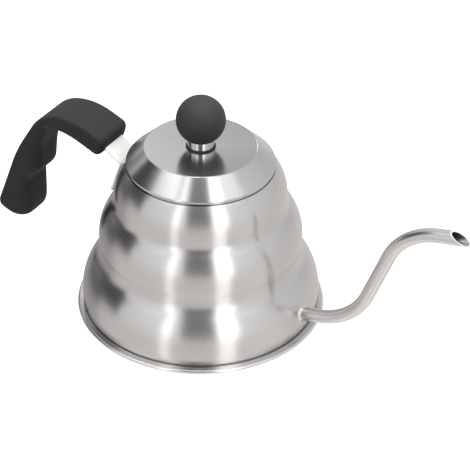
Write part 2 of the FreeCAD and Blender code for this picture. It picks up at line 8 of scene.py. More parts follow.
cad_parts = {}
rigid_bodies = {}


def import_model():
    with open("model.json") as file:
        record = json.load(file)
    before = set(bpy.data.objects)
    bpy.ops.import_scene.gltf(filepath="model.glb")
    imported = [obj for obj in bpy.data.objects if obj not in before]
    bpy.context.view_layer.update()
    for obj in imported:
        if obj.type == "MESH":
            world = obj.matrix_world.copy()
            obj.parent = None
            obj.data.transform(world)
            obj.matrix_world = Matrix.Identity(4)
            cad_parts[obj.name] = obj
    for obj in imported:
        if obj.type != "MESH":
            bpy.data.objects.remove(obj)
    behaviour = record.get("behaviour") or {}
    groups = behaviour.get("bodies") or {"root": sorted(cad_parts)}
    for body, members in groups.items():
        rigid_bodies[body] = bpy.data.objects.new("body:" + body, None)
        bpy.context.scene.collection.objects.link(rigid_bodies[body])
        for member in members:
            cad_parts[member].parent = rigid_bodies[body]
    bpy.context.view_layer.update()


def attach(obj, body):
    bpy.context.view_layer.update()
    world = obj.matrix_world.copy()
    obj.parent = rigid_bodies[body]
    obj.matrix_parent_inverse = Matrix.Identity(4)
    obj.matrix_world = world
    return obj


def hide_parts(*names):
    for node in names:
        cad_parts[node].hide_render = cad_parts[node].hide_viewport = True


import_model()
print("frame loaded")

mm = 0.001
mergeGap = 1e-7  # vertices nearer than this become one, in metres
samePlace = 1e-4  # outline points nearer than this are one, in millimetres
drillSides = 64
crease = {"sheet": 38.0, "moulded": 50.0, "weld": 60.0, "fastener": 30.0}  # sharp past this many degrees


# outlines in the upright plane: (reach, height), in millimetres

def arcPoints(centre, radius, fromAngle, toAngle, step):
    count = max(2, math.ceil(abs(toAngle - fromAngle) / step))
    points = []
    for i in range(count + 1):
        angle = math.radians(fromAngle + (toAngle - fromAngle) * i / count)
        points.append((centre[0] + radius * math.cos(angle), centre[1] + radius * math.sin(angle)))
    return points


def bearing(origin, target):
    return math.degrees(math.atan2(target[1] - origin[1], target[0] - origin[0]))


def roundCorners(corners, step, closed=False):  # corners: (reach, height, rounding)
    points = []
    total = len(corners)
    for i, (x, z, rounding) in enumerate(corners):
        atEnd = not closed and i in (0, total - 1)
        if atEnd or not rounding:
            points.append((x, z))
            continue
        corner = Vector((x, z))
        before = (Vector(corners[i - 1][:2]) - corner).normalized()
        after = (Vector(corners[(i + 1) % total][:2]) - corner).normalized()
        half = before.angle(after) / 2
        middle = corner + (before + after).normalized() * (rounding / math.sin(half))
        first = bearing(middle, corner + before * (rounding / math.tan(half)))
        last = bearing(middle, corner + after * (rounding / math.tan(half)))
        swing = (last - first + 180) % 360 - 180
        points += arcPoints(middle, rounding, first, first + swing, step)
    return points


def dropDoubles(points):
    kept = [points[0]]
    for point in points[1:]:
        if math.dist(point, kept[-1]) > samePlace:
            kept.append(point)
    return kept


def sheetOutline(path, gauge):  # closed outline of a sheet, thickened to the left of its path
    path = dropDoubles(path)
    other = []
    for i, point in enumerate(path):
        here = Vector(point)
        normals = []
        if i > 0:
            run = (here - Vector(path[i - 1])).normalized()
            normals.append(Vector((-run.y, run.x)))
        if i < len(path) - 1:
            run = (Vector(path[i + 1]) - here).normalized()
            normals.append(Vector((-run.y, run.x)))
        lean = sum(normals, Vector((0, 0))).normalized()
        other.append(tuple(here + lean * (gauge / lean.dot(normals[0]))))
    return path + other[::-1]


# meshes

def asObject(name, data):
    holder = bpy.data.objects.new(name, data)
    bpy.context.collection.objects.link(holder)
    return holder


def newPiece(name, mesh, finish, sharp):
    for polygon in mesh.polygons:
        polygon.use_smooth = True
    mesh.set_sharp_from_angle(angle=math.radians(sharp))
    mesh.materials.clear()
    mesh.materials.append(finish)
    return asObject(name, mesh)


def meshOf(name, work):
    bmesh.ops.remove_doubles(work, verts=work.verts, dist=mergeGap)
    bmesh.ops.recalc_face_normals(work, faces=work.faces)
    mesh = bpy.data.meshes.new(name)
    work.to_mesh(mesh)
    work.free()
    return mesh


def turned(name, outline, sides):  # closed outline spun round the upright axis
    work = bmesh.new()
    rings = []
    for reach, height in outline:
        if reach < samePlace:
            rings.append([work.verts.new((0, 0, height * mm))] * sides)
            continue
        ring = []
        for i in range(sides):
            turn = 2 * math.pi * i / sides
            east, north = reach * mm * math.cos(turn), reach * mm * math.sin(turn)
            ring.append(work.verts.new((east, north, height * mm)))
        rings.append(ring)
    for low, high in zip(rings, rings[1:] + rings[:1]):
        for i in range(sides):
            j = (i + 1) % sides
            corners = []
            for corner in (low[i], low[j], high[j], high[i]):
                if corner not in corners:
                    corners.append(corner)
            if len(corners) > 2:
                work.faces.new(corners)
    return meshOf(name, work)


def lathe(name, outline, sides, finish):
    return newPiece(name, turned(name, outline, sides), finish, crease["sheet"])


def slab(name, outline, width):  # closed outline given a width across the kettle
    work = bmesh.new()
    near = [work.verts.new((x * mm, -width / 2 * mm, z * mm)) for x, z in outline]
    far = [work.verts.new((x * mm, width / 2 * mm, z * mm)) for x, z in outline]
    work.faces.new(near)
    work.faces.new(far[::-1])
    for i in range(len(outline)):
        j = (i + 1) % len(outline)
        work.faces.new((near[j], near[i], far[i], far[j]))
    return meshOf(name, work)


def settled(holder):  # what its modifiers make of an object, as a plain mesh; the object goes
    graph = bpy.context.evaluated_depsgraph_get()
    mesh = bpy.data.meshes.new_from_object(holder.evaluated_get(graph), depsgraph=graph)
    mesh.name = holder.name
    bpy.data.objects.remove(holder)
    return mesh


def roundedEdges(blank, width, segments, angle):
    bevel = blank.modifiers.new("edges", "BEVEL")
    bevel.width = width * mm
    bevel.segments = segments
    bevel.limit_method = "ANGLE"
    bevel.angle_limit = math.radians(angle)
    bevel.use_clamp_overlap = False
    bevel.harden_normals = True
    return settled(blank)


def drilled(blank, start, axis, radius, length):  # round hole from a point along an axis
    work = bmesh.new()
    turn = Vector((0, 0, 1)).rotation_difference(Vector(axis)).to_matrix().to_4x4()
    place = Matrix.Translation(Vector(start) * mm) @ turn @ Matrix.Translation((0, 0, length / 2 * mm))
    bmesh.ops.create_cone(work, cap_ends=True, segments=drillSides, radius1=radius * mm,
                          radius2=radius * mm, depth=length * mm, matrix=place)
    bitMesh = bpy.data.meshes.new("drillBit")
    work.to_mesh(bitMesh)
    work.free()
    bit = asObject("drillBit", bitMesh)
    hole = blank.modifiers.new("hole", "BOOLEAN")
    hole.operation = "DIFFERENCE"
    hole.solver = "EXACT"
    hole.object = bit
    mesh = settled(blank)
    bpy.data.objects.remove(bit)
    return mesh


def handOver(piece, body, node):
    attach(piece, body)
    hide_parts(node)


# finishes

class Wire:  # a socket that can be reckoned with
    def __init__(self, finish, node, output):
        self.finish = finish
        self.node = node
        self.socket = node.outputs[output]

    def out(self, output):
        return Wire(self.finish, self.node, output)

    def reckon(self, operation, first, second):
        return self.finish.add("ShaderNodeMath", {"operation": operation}, {0: first, 1: second})

    def __add__(self, other):
        return self.reckon("ADD", self, other)

    def __radd__(self, other):
        return self.reckon("ADD", other, self)

    def __sub__(self, other):
        return self.reckon("SUBTRACT", self, other)

    def __rsub__(self, other):
        return self.reckon("SUBTRACT", other, self)

    def __mul__(self, other):
        return self.reckon("MULTIPLY", self, other)

    def __truediv__(self, other):
        return self.reckon("DIVIDE", self, other)

    def __pow__(self, other):
        return self.reckon("POWER", self, other)


class Finish:  # node tree of a material or of the surroundings
    def __init__(self, owner):
        owner.use_nodes = True
        self.owner = owner
        self.tree = owner.node_tree
        self.tree.nodes.clear()

    def add(self, kind, settings=None, inputs=None, output=0):
        node = self.tree.nodes.new(kind)
        for key, value in (settings or {}).items():
            setattr(node, key, value)
        for key, value in (inputs or {}).items():
            self.feed(node.inputs[key], value)
        return Wire(self, node, output)

    def feed(self, socket, value):
        if isinstance(value, Wire):
            self.tree.links.new(value.socket, socket)
        else:
            socket.default_value = value

    def place(self):
        return self.add("ShaderNodeTexCoord", output="Object")

    def noise(self, place, scale, detail):
        return self.add("ShaderNodeTexNoise", {}, {"Vector": place, "Scale": scale, "Detail": detail})

    def blend(self, share, first, second):  # between two colours, each plain or a wire
        inputs = {"Factor": share}
        for key, colour in (("A", first), ("B", second)):
            inputs[key] = colour if isinstance(colour, Wire) else (*colour, 1)
        return self.add("ShaderNodeMix", {"data_type": "RGBA"}, inputs, "Result")

    def bump(self, strength, distance, height):
        return self.add("ShaderNodeBump", {}, {
            "Strength": strength, "Distance": distance, "Height": height})

    def close(self, surface, kind="ShaderNodeOutputMaterial"):
        end = self.tree.nodes.new(kind)
        self.tree.links.new(surface.socket, end.inputs["Surface"])
        return self.owner


def newFinish(name):
    return Finish(bpy.data.materials.new(name))


def aroundAxis(finish):  # unit direction, reach and height about the kettle's axis
    split = finish.add("ShaderNodeSeparateXYZ", {}, {0: finish.place()})
    x, y, z = split.out("X"), split.out("Y"), split.out("Z")
    reach = (x * x + y * y) ** 0.5 + 1e-6  # never quite nothing
    return x / reach, y / reach, reach, z


def band(finish, value, low, high, soft):  # 1 between low and high, soft at both ends
    edges = []
    for edge in (low, high):
        edges.append(finish.add("ShaderNodeMapRange", {"interpolation_type": "SMOOTHSTEP"}, {
            "Value": value, "From Min": edge - soft, "From Max": edge + soft}))
    return edges[0] - edges[1]


noiseMiddle = 0.5
noiseDetail = {"line": 2.0, "cloud": 2.0, "haze": 4.0, "speck": 2.0, "plastic": 3.0, "mottle": 2.0}
steelMix = {
    "fineShare": 0.6, "streakShare": 0.7, "seamShadeSoftAcross": 0.1, "seamShadeSoftUpright": 0.15, "brushTurn": 0.25,
    "speckDepth": 0.02,
}
plasticMix = {"wearShare": 0.6, "grainSwing": 0.06, "grainDepth": 0.2}


def spunSteel(name, look):  # sheet steel, brushed round the axis
    finish = newFinish(name)
    east, north, reach, height = aroundAxis(finish)
    layers = []
    for layer in ("fine", "broad"):
        turns = look[layer + "Turns"]
        pitch = 1 / (look[layer + "Line"] * mm)
        spot = finish.add("ShaderNodeCombineXYZ", {}, {
            0: east * turns, 1: north * turns, 2: height * pitch})
        layers.append(finish.add("ShaderNodeTexNoise", {"noise_dimensions": "4D"}, {
            "Vector": spot, "W": reach * pitch, "Scale": 1.0, "Detail": noiseDetail["line"]}))
    fine, broad = layers
    cloud = finish.noise(finish.place(), look["cloud"], noiseDetail["cloud"])
    streak = fine * steelMix["fineShare"] + broad * (1 - steelMix["fineShare"])
    # painted shade: dark bands where the lid's rim and the foot overhang the wall, mixed into the colour by
    # their strength
    seamShade = 0.0
    for lowReach, highReach, lowHeight, highHeight, depth in look["seamShade"]:
        across = band(finish, reach, lowReach * mm, highReach * mm, steelMix["seamShadeSoftAcross"] * mm)
        upright = band(finish, height, lowHeight * mm, highHeight * mm, steelMix["seamShadeSoftUpright"] * mm)
        seamShade = seamShade + across * upright * depth
    mottle = streak * steelMix["streakShare"] + cloud * (1 - steelMix["streakShare"])
    tone = finish.blend(seamShade, finish.blend(mottle, look["dark"], look["light"]), look["seamShadeTone"])
    rough = look["rough"] + (streak - noiseMiddle) * look["roughSwing"]
    rough = rough + (cloud - noiseMiddle) * look["smudge"]
    shader = finish.add("ShaderNodeBsdfPrincipled", {}, {
        "Base Color": tone, "Metallic": 1.0, "Roughness": rough,
        "Normal": finish.bump(look["groove"], look["fineLine"] * mm, fine),
        "Anisotropic": look["brush"], "Anisotropic Rotation": steelMix["brushTurn"]})
    return finish.close(shader)


def drawnSteel(name, look):  # tube, strap and fasteners: fine haze, no brushed direction
    finish = newFinish(name)
    place = finish.place()
    haze = finish.noise(place, look["haze"], noiseDetail["haze"])
    speck = finish.noise(place, look["speck"], noiseDetail["speck"])
    rough = look["rough"] + (haze - noiseMiddle) * look["roughSwing"]
    rough = rough + (speck - noiseMiddle) * look["roughSwing"]
    shader = finish.add("ShaderNodeBsdfPrincipled", {}, {
        "Base Color": finish.blend(haze, look["dark"], look["light"]), "Metallic": look["metal"],
        "Roughness": rough, "Normal": finish.bump(look["groove"], steelMix["speckDepth"] * mm, speck)})
    return finish.close(shader)


def mouldedPlastic(name, look):  # fine spark-eroded grain with worn patches
    finish = newFinish(name)
    place = finish.place()
    grain = finish.noise(place, 1 / (look["grain"] * mm), noiseDetail["plastic"])
    wear = finish.noise(place, look["wear"], noiseDetail["plastic"])
    mottle = wear * plasticMix["wearShare"] + grain * (1 - plasticMix["wearShare"])
    rough = look["rough"] + (wear - noiseMiddle) * look["roughSwing"]
    rough = rough + (grain - noiseMiddle) * plasticMix["grainSwing"]
    shader = finish.add("ShaderNodeBsdfPrincipled", {}, {
        "Base Color": finish.blend(mottle, look["dark"], look["light"]), "Roughness": rough,
        "Normal": finish.bump(look["relief"], look["grain"] * mm * plasticMix["grainDepth"], grain),
        "Specular IOR Level": look["shine"]})
    return finish.close(shader)


satinLook = {
    "dark": (0.568, 0.557, 0.553), "light": (0.650, 0.638, 0.633), "rough": 0.26, "roughSwing": 0.08,
    "smudge": 0.04, "fineLine": 0.20, "fineTurns": 1.6, "broadLine": 0.48, "broadTurns": 1.2,
    # the last colour here is the painted shade laid into the bands below
    "cloud": 26.0, "groove": 0.035, "brush": 0.8, "seamShadeTone": (0.10, 0.095, 0.09),
    "seamShade": (  # painted shade bands: reach from, to, height from, to, strength
        (42.6, 46.0, 98.15, 98.75, 1.0),  # painted shade in the gap under the lid's rim
        (69.5, 71.5, 1.5, 3.05, 0.35),  # painted shade in the crevice above the foot, weaker
    ),
}
# the base pan's steel: a lighter copy of the satin steel, painted light for the brighter rolled rim
rimPaintedLightLook = {**satinLook, "dark": (0.66, 0.645, 0.637), "light": (0.76, 0.743, 0.733)}
lidLook = {**satinLook, "rough": 0.22}
strapLook = {
    "dark": (0.82, 0.805, 0.785), "light": (0.88, 0.865, 0.845), "rough": 0.45, "roughSwing": 0.06,
    "haze": 70.0, "speck": 2600.0, "groove": 0.05, "metal": 0.915,
}
boreLook = {
    "dark": (0.46, 0.43, 0.415), "light": (0.56, 0.53, 0.515), "rough": 0.34, "roughSwing": 0.08,
    "haze": 200.0, "speck": 1800.0, "groove": 0.06, "metal": 1.0,
}
tubeLook = {
    "dark": (0.625, 0.602, 0.588), "light": (0.685, 0.661, 0.646), "rough": 0.29, "roughSwing": 0.04,
    "haze": 60.0, "speck": 2600.0, "groove": 0.03, "metal": 1.0,
}
collarLook = {
    "dark": (0.68, 0.67, 0.655), "light": (0.74, 0.73, 0.715), "rough": 0.11, "roughSwing": 0.04,
    "haze": 90.0, "speck": 2200.0, "groove": 0.03, "metal": 1.0,
}
fastenerLook = {
    "dark": (0.50, 0.50, 0.50), "light": (0.60, 0.60, 0.60), "rough": 0.34, "roughSwing": 0.12,
    "haze": 420.0, "speck": 3000.0, "groove": 0.12, "metal": 1.0,
}
brassLook = {
    "dark": (0.62, 0.44, 0.18), "light": (0.75, 0.57, 0.28), "rough": 0.32, "roughSwing": 0.10,
    "haze": 300.0, "speck": 2600.0, "groove": 0.10, "metal": 1.0,
}
gripLook = {
    "dark": (0.007, 0.007, 0.0071), "light": (0.010, 0.010, 0.0101), "rough": 0.64, "roughSwing": 0.08,
    "grain": 0.35, "wear": 34.0, "relief": 0.30, "shine": 0.22,
}
ballLook = {
    "dark": (0.0065, 0.0065, 0.0067), "light": (0.0155, 0.0155, 0.0157), "rough": 0.62, "roughSwing": 0.06,
    "grain": 0.55, "wear": 60.0, "relief": 0.50, "shine": 0.36,
}
sealLook = {
    "dark": (0.012, 0.012, 0.012), "light": (0.024, 0.024, 0.024), "rough": 0.72, "roughSwing": 0.10,
    "grain": 0.20, "wear": 180.0, "relief": 0.30, "shine": 0.35,
}
satin = spunSteel("satinSpunSteel", satinLook)
rimPaintedLightSteel = spunSteel("satinRimSteelPaintedLight", rimPaintedLightLook)
lidSteel = spunSteel("satinLidSteel", lidLook)
tubeSteel = drawnSteel("satinTubeSteel", tubeLook)
strapSteel = drawnSteel("paleStrapSteel", strapLook)
boreSteel = drawnSteel("dullBoreSteel", boreLook)
polished = drawnSteel("polishedCollarSteel", collarLook)
fastener = drawnSteel("plainFastenerSteel", fastenerLook)
brass = drawnSteel("turnedBrass", brassLook)
gripPlastic = mouldedPlastic("mattGripPlastic", gripLook)
ballPlastic = mouldedPlastic("mattBallPlastic", ballLook)
rubber = mouldedPlastic("darkSealRubber", sealLook)
print("finishes made")


# body shell: foot flange, three bulging tiers, ledge and turned-in neck

shell = {
    "gauge": 0.7, "flangeEdge": 73.6, "flangeTop": 2.4, "footBend": 0.8, "sides": 256,
    "tiers": ((71.7, 12.2, 32.6), (60.9, 50.6, 30.2), (51.4, 78.2, 30.6)),  # belly reach, height, bulge
    "grooves": (14.0, 9.0), "neckReach": 39.4, "neckDepth": 6.0, "neckBend": 1.2, "ledge": 99.6,
    "footStep": 15, "tierStep": 1.6, "grooveStep": 3, "neckStep": 12,  # degrees between points
}


def tierCentre(tier):
    return tier[0] - tier[2], tier[1]


def grooveCentre(lower, upper, rounding):  # outside both bulges that the groove's arc touches
    a, b = Vector(tierCentre(lower)), Vector(tierCentre(upper))
    reachA = lower[2] + rounding
    reachB = upper[2] + rounding
    gap = (b - a).length
    along = (reachA ** 2 - reachB ** 2 + gap ** 2) / (2 * gap)
    aside = math.sqrt(reachA ** 2 - along ** 2)
    run = (b - a) / gap
    return a.x + along * run.x + aside * run.y, a.y + along * run.y - aside * run.x


def onTier(tier, extra, height):  # point at a height, further from the bulge's centre than its wall by extra
    reach, middle = tierCentre(tier)
    return reach + math.sqrt((tier[2] + extra) ** 2 - (height - middle) ** 2), height


def shellPath():
    tiers = shell["tiers"]
    centres = [tierCentre(tier) for tier in tiers]
    grooves = [grooveCentre(tiers[i], tiers[i + 1], shell["grooves"][i]) for i in range(2)]
    foot = onTier(tiers[0], shell["footBend"], shell["flangeTop"] + shell["footBend"])
    shoulder = onTier(tiers[2], -shell["neckBend"], shell["ledge"] - shell["neckBend"])
    lip = (shell["neckReach"] + shell["neckBend"], shell["ledge"] - shell["neckBend"])
    ends = [foot, *grooves, shoulder]
    lows = [bearing(centre, end) for centre, end in zip(centres, ends)]
    highs = [bearing(centre, end) for centre, end in zip(centres, ends[1:])]
    path = [(shell["flangeEdge"], shell["flangeTop"])]
    path += arcPoints(foot, shell["footBend"], 270, lows[0] + 180, shell["footStep"])
    for i in range(3):
        path += arcPoints(centres[i], tiers[i][2], lows[i], highs[i], shell["tierStep"])
        if i < 2:
            path += arcPoints(
                grooves[i], shell["grooves"][i], highs[i] + 180, lows[i + 1] + 180, shell["grooveStep"])
    path += arcPoints(shoulder, shell["neckBend"], highs[2], 90, shell["neckStep"])
    path += arcPoints(lip, shell["neckBend"], 90, 180, shell["neckStep"])
    path.append((shell["neckReach"], shell["ledge"] - shell["neckDepth"]))
    return path


spout = {
    "outer": 4.1, "bore": 3.4, "sides": 72, "cutAngle": 24.0, "overrun": 0.25, "tipRound": 0.16,
    "route": ((68.6, 16.8, 0), (104.8, 24.9, 43.0), (132.7, 99.8, 41.0), (167.5, 107.3, 0)),
    "sweepStep": 2.0, "markStep": 1.0,  # degrees between points
    "tipRuns": 24, "tipSteps": 3, "drillBack": 4.0, "drillLength": 16.0,
    "boreSlack": 0.2, "cutSlack": 0.05, "cutFacing": 0.98,
}
spoutRoot = Vector((spout["route"][0][0], 0, spout["route"][0][1]))
spoutRun = (Vector((spout["route"][1][0], 0, spout["route"][1][1])) - spoutRoot).normalized()

bodyBlank = lathe("bodyShell", sheetOutline(shellPath(), shell["gauge"]), shell["sides"], satin)
bodyMesh = drilled(
    bodyBlank, spoutRoot - spoutRun * spout["drillBack"], spoutRun, spout["outer"], spout["drillLength"])
bodyShell = newPiece("bodyShell", bodyMesh, satin, crease["sheet"])
handOver(bodyShell, "kettle", "body_shell")
print("body shell turned")


# base pan: flat floor, small step, edge rolled over the flange

base = {
    "gauge": 0.8, "floor": 65.5, "slope": 2.0, "lift": 0.9, "rim": 75.0, "rimTop": 3.2, "roll": 1.1,
    "tuck": 71.6, "stepRound": 1.2, "sides": 256, "cornerStep": 12,
}
basePath = roundCorners([
    (0, 0, 0), (base["floor"], 0, base["stepRound"]),
    (base["floor"] + base["slope"], base["lift"], base["stepRound"]),
    (base["rim"], base["lift"], base["roll"]), (base["rim"], base["rimTop"], base["roll"]),
    (base["tuck"], base["rimTop"], 0)], base["cornerStep"])
# the base pan takes the lighter copy of the satin steel, painted light for its brighter rim
basePan = lathe("basePan", sheetOutline(basePath, base["gauge"]), base["sides"], rimPaintedLightSteel)
handOver(basePan, "kettle", "base_pan")
print("base pan turned")


# spout: tube swept along its bent route by nodes, then cut and walled

def nodeTree(name, inputs):
    tree = bpy.data.node_groups.new(name, "GeometryNodeTree")
    sockets = {}
    tree.interface.new_socket("Geometry", in_out="OUTPUT", socket_type="NodeSocketGeometry")
    for label, kind in inputs:
        socket = tree.interface.new_socket(label, in_out="INPUT", socket_type="NodeSocket" + kind)
        sockets[label] = socket.identifier
    return tree, sockets, tree.nodes.new("NodeGroupInput").outputs


def addNode(tree, kind, settings=None, inputs=None):  # gives the node's first output
    node = tree.nodes.new(kind)
    for key, value in (settings or {}).items():
        setattr(node, key, value)
    for key, value in (inputs or {}).items():
        if hasattr(value, "is_output"):
            tree.links.new(value, node.inputs[key])
        else:
            node.inputs[key].default_value = value
    return node.outputs[0]


def closeTree(tree, shape, steel):
    smooth = addNode(tree, "GeometryNodeSetShadeSmooth", {}, {"Geometry": shape})
    real = addNode(tree, "GeometryNodeRealizeInstances", {}, {"Geometry": smooth})
    dressed = addNode(tree, "GeometryNodeSetMaterial", {}, {"Geometry": real, "Material": steel})
    tree.links.new(dressed, tree.nodes.new("NodeGroupOutput").inputs[0])


def runTree(name, data, tree, sockets, values):  # all values are set before the first look
    holder = asObject(name, data)
    nodes = holder.modifiers.new("nodes", "NODES")
    nodes.node_group = tree
    for label, value in values.items():
        nodes[sockets[label]] = value
    return settled(holder)


tubeTree, tubeSockets, tubeGive = nodeTree("bentTube", (
    ("Geometry", "Geometry"), ("Radius", "Float"), ("Sides", "Int"), ("Steel", "Material")))
tubeRing = addNode(tubeTree, "GeometryNodeCurvePrimitiveCircle", {}, {
    "Resolution": tubeGive["Sides"], "Radius": tubeGive["Radius"]})
tubeSkin = addNode(tubeTree, "GeometryNodeCurveToMesh", {}, {
    "Curve": tubeGive["Geometry"], "Profile Curve": tubeRing})
closeTree(tubeTree, tubeSkin, tubeGive["Steel"])


def spoutPoints(step):  # the route, run on past the tip
    route = [list(point) for point in spout["route"]]
    for axis in (0, 1):
        route[-1][axis] += (route[-1][axis] - route[-2][axis]) * spout["overrun"]
    points = dropDoubles(roundCorners(route, step))
    last, end = Vector(points[-2]), Vector(points[-1])
    runs = spout["tipRuns"]
    return points[:-1] + [tuple(last.lerp(end, i / runs)) for i in range(1, runs + 1)]


def tubeMesh(name, radius):
    points = spoutPoints(spout["sweepStep"])
    line = bpy.data.curves.new(name, "CURVE")
    line.dimensions = "3D"
    spline = line.splines.new("POLY")
    spline.points.add(len(points) - 1)
    for point, (x, z) in zip(spline.points, points):
        point.co = (x * mm, 0, z * mm, 1)
    return runTree(name, line, tubeTree, tubeSockets, {
        "Radius": radius * mm, "Sides": spout["sides"], "Steel": tubeSteel})


cutAngle = math.radians(spout["cutAngle"])
tipMiddle = Vector((spout["route"][3][0] * mm, 0, spout["route"][3][1] * mm))
tipFacing = Vector((math.sin(cutAngle), 0, math.cos(cutAngle)))


def pastCut(point):  # how far a point lies from the plane of the oblique cut
    return abs((point - tipMiddle).dot(tipFacing))


def spoutMesh():
    work = bmesh.new()
    work.from_mesh(tubeMesh("spoutSkin", spout["outer"]))
    work.from_mesh(tubeMesh("spoutBore", spout["bore"]))
    bmesh.ops.bisect_plane(work, geom=work.verts[:] + work.edges[:] + work.faces[:], dist=mergeGap,
                           plane_co=tipMiddle, plane_no=tipFacing, clear_outer=True)
    bmesh.ops.remove_doubles(work, verts=work.verts, dist=mergeGap)
    rims = [edge for edge in work.edges if edge.is_boundary]
    atTip = [edge for edge in rims if pastCut(edge.verts[0].co) < mergeGap * 100]
    atRoot = [edge for edge in rims if edge not in atTip]
    for ends in (atTip, atRoot):  # the ring between skin and bore
        bmesh.ops.triangle_fill(work, edges=ends, use_beauty=True)
    bmesh.ops.recalc_face_normals(work, faces=work.faces)
    bmesh.ops.bevel(work, geom=atTip + atRoot, offset=spout["tipRound"] * mm, segments=spout["tipSteps"],
                    profile=0.5, affect="EDGES", clamp_overlap=True)
    return meshOf("spoutTube", work)


spoutTube = newPiece("spoutTube", spoutMesh(), tubeSteel, crease["moulded"])
spoutTube.data.materials.append(boreSteel)
spoutTube.data.materials.append(strapSteel)
spoutLine = [Vector((x, 0, z)) * mm for x, z in spoutPoints(spout["markStep"])]
for polygon in spoutTube.data.polygons:  # the outside is satin, the bore dull, the cut ring pale
    middle = polygon.center
    axis = min(spoutLine, key=lambda point: (point - middle).length)
    inside = (middle - axis).length < (spout["bore"] + spout["boreSlack"]) * mm
    polygon.material_index = 1 if inside else 0
    if polygon.normal.dot(tipFacing) > spout["cutFacing"] and pastCut(middle) < spout["cutSlack"] * mm:
        polygon.material_index = 2
handOver(spoutTube, "kettle", "spout_tube")

weld = {
    "leg": 1.6, "sag": 0.45, "root": 0.3, "sides": 72, "steps": 8, "near": -10.0, "far": 25.0, "halvings": 50,
}


def onWall(turn, radius):  # where a line along the spout meets the body wall, found by halving
    side = Vector((-spoutRun.z, 0, spoutRun.x)) * math.cos(turn) + Vector((0, 1, 0)) * math.sin(turn)
    near, far = weld["near"], weld["far"]
    for _ in range(weld["halvings"]):
        middle = (near + far) / 2
        point = spoutRoot + spoutRun * middle + side * radius
        if math.hypot(point.x, point.y) < onTier(shell["tiers"][0], 0.0, point.z)[0]:
            near = middle
        else:
            far = middle
    return spoutRoot + spoutRun * middle + side * radius


def weldMesh():
    work = bmesh.new()
    rings = []
    for i in range(weld["sides"]):
        turn = 2 * math.pi * i / weld["sides"]
        corner = onWall(turn, spout["outer"])
        onBody = onWall(turn, spout["outer"] + weld["leg"])
        onSpout = corner + spoutRun * weld["leg"]
        pull = corner.lerp((onBody + onSpout) / 2, weld["sag"])
        ring = []
        for j in range(weld["steps"] + 1):
            share = j / weld["steps"]
            point = onBody * (1 - share) ** 2 + pull * 2 * share * (1 - share) + onSpout * share ** 2
            ring.append(work.verts.new(point * mm))
        ring.append(work.verts.new((corner - spoutRun * weld["root"]) * mm))
        rings.append(ring)
    for low, high in zip(rings, rings[1:] + rings[:1]):
        for j in range(len(low)):
            k = (j + 1) % len(low)
            work.faces.new((low[j], low[k], high[k], high[j]))
    return meshOf("spoutWeld", work)


spoutWeld = newPiece("spoutWeld", weldMesh(), tubeSteel, crease["weld"])
handOver(spoutWeld, "kettle", "spout_weld")
print("spout bent, cut and welded")


# handle strap: foot across the two upper tiers, tang in the grip

strap = {
    "gauge": 1.6, "width": 18.0, "edge": 0.35, "edgeSteps": 3, "edgeAngle": 60.0, "bendStep": 5,
    "route": ((-57.7, 63.9, 0), (-50.1, 85.2, 3.2), (-66.0, 96.6, 20.0), (-93.0, 105.0, 0)),
}
strapOutline = sheetOutline(roundCorners(strap["route"], strap["bendStep"]), strap["gauge"])
strapBlank = newPiece(
    "handleStrap", slab("handleStrap", strapOutline, strap["width"]), strapSteel, crease["sheet"])
strapMesh = roundedEdges(strapBlank, strap["edge"], strap["edgeSteps"], strap["edgeAngle"])
handleStrap = newPiece("handleStrap", strapMesh, strapSteel, crease["sheet"])
handOver(handleStrap, "kettle", "handle_strap")
print("handle strap bent")


# grip: sections lofted between its outer and inner side, two screw pockets below

grip = {
    "width": 28.0, "pocket": 3.8, "pocketDepth": 11.0, "endRound": 3.0, "heelRound": 7.0, "steps": 9,
    "sideStep": 3, "mergeGap": 2e-6, "outerShare": 0.35, "innerShare": 0.6, "widthShare": 0.4,
    "outer": (  # kettle end, over the crest, down the back: reach, height, rounding
        (-61.4, 93.9, 0), (-60.0, 100.2, 4.6), (-82.0, 108.7, 40.0), (-106.0, 104.7, 28.0),
        (-125.8, 72.8, 120.0), (-144.0, 25.8, 7.0), (-133.6, 20.6, 0)),
    "inner": (  # kettle end, along the underside, down the finger side
        (-61.4, 93.9, 0), (-62.9, 87.5, 4.6), (-84.0, 96.2, 40.0), (-102.8, 97.4, 6.0),
        (-109.4, 78.0, 30.0), (-111.6, 58.6, 9.0), (-121.0, 52.8, 9.0), (-119.4, 31.2, 24.0),
        (-122.4, 15.2, 10.0), (-133.6, 20.6, 0)),
    "pairs": (  # outer place, inner place, stations up to here, outer edge, inner edge
        ((-61.4, 93.9), (-61.4, 93.9), 0, 2.0, 2.4), ((-60.0, 100.2), (-62.9, 87.5), 12, 2.0, 2.4),
        ((-86.1, 108.2), (-84.0, 96.2), 18, 2.0, 2.4), ((-108.8, 100.6), (-102.8, 97.4), 16, 2.0, 4.0),
        ((-119.6, 83.1), (-109.4, 78.0), 16, 2.2, 8.0), ((-129.6, 63.4), (-111.6, 58.6), 18, 2.4, 8.0),
        ((-132.4, 56.1), (-121.0, 52.8), 14, 2.6, 6.0), ((-139.2, 38.1), (-119.4, 31.2), 16, 3.0, 9.0),
        ((-144.0, 25.8), (-122.4, 15.2), 18, 4.0, 9.0), ((-133.6, 20.6), (-133.6, 20.6), 12, 4.0, 9.0)),
}


class Chain:  # a side of the grip, measured along its length
    def __init__(self, corners):
        self.points = [Vector(point) for point in dropDoubles(roundCorners(corners, grip["sideStep"]))]
        self.marks = [0.0]
        for here, after in zip(self.points, self.points[1:]):
            self.marks.append(self.marks[-1] + (after - here).length)

    def nearest(self, place):
        gaps = [(point - Vector(place)).length for point in self.points]
        return self.marks[gaps.index(min(gaps))]

    def at(self, mark):
        for i in range(1, len(self.marks)):
            if mark <= self.marks[i] or i == len(self.marks) - 1:
                share = (mark - self.marks[i - 1]) / (self.marks[i] - self.marks[i - 1])
                return self.points[i - 1].lerp(self.points[i], min(share, 1.0))


